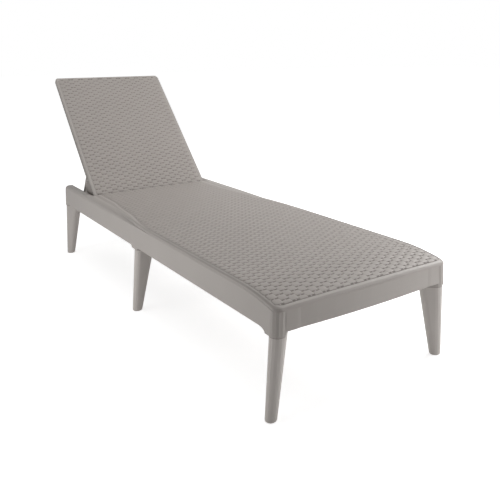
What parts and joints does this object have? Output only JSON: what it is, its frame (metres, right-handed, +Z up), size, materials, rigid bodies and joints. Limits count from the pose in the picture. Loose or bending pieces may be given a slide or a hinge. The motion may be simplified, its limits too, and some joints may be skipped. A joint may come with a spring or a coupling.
{
  "type": "sun lounger",
  "caption": "Moulded sun lounger with a rattan look: long low seat between side rails on splayed tapered legs, and a back raised on a folding prop.",
  "frame": {"origin": "on the floor under the middle of the whole lounger, with the back raised as stored", "axes": "+Z up, +Y towards the head end, +X to the right of someone who stands at the foot end and looks at the back"},
  "size_m": [0.5904, 1.7708, 0.7348],
  "materials": {
    "plastic": "matte",
    "steel": "satin"
  },
  "bodies": {
    "frame": {"seat_deck": "plastic", "side_rail_left": "plastic", "side_rail_right": "plastic", "foot_apron": "plastic", "mid_crossbar": "plastic", "hinge_crossbar": "plastic", "head_crossbar": "plastic", "leg_front_left": "plastic", "leg_front_right": "plastic", "leg_mid_left": "plastic", "leg_mid_right": "plastic", "leg_rear_left": "plastic", "leg_rear_right": "plastic", "leg_screw_front_left": "steel", "leg_screw_front_right": "steel", "leg_screw_mid_left": "steel", "leg_screw_mid_right": "steel", "leg_screw_rear_left": "steel", "leg_screw_rear_right": "steel", "ratchet_rack_left": "plastic", "ratchet_rack_right": "plastic", "hinge_pin_left": "steel", "hinge_pin_right": "steel", "hinge_spacer_left": "plastic", "hinge_spacer_right": "plastic"},
    "backrest": {"backrest_panel": "plastic", "prop_pivot_pin_left": "steel", "prop_pivot_pin_right": "steel"},
    "prop": {"prop_arm_left": "plastic", "prop_arm_right": "plastic", "prop_foot_bar": "plastic"}
  },
  "joints": [
    {"name": "backrest_hinge", "type": "hinge", "parent": "frame", "child": "backrest", "pos_m": [0, 0.44061, 0.2815], "axis": [1, 0, 0], "range_deg": [-45, 12]},
    {"name": "prop_hinge", "type": "hinge", "parent": "backrest", "child": "prop", "pos_m": [0, 0.54527, 0.3607], "axis": [1, 0, 0], "range_deg": [-28, 100]}
  ],
  "couplings": [
    {"joint": "prop_hinge", "follows": "backrest_hinge", "ratio": -2.2}
  ]
}
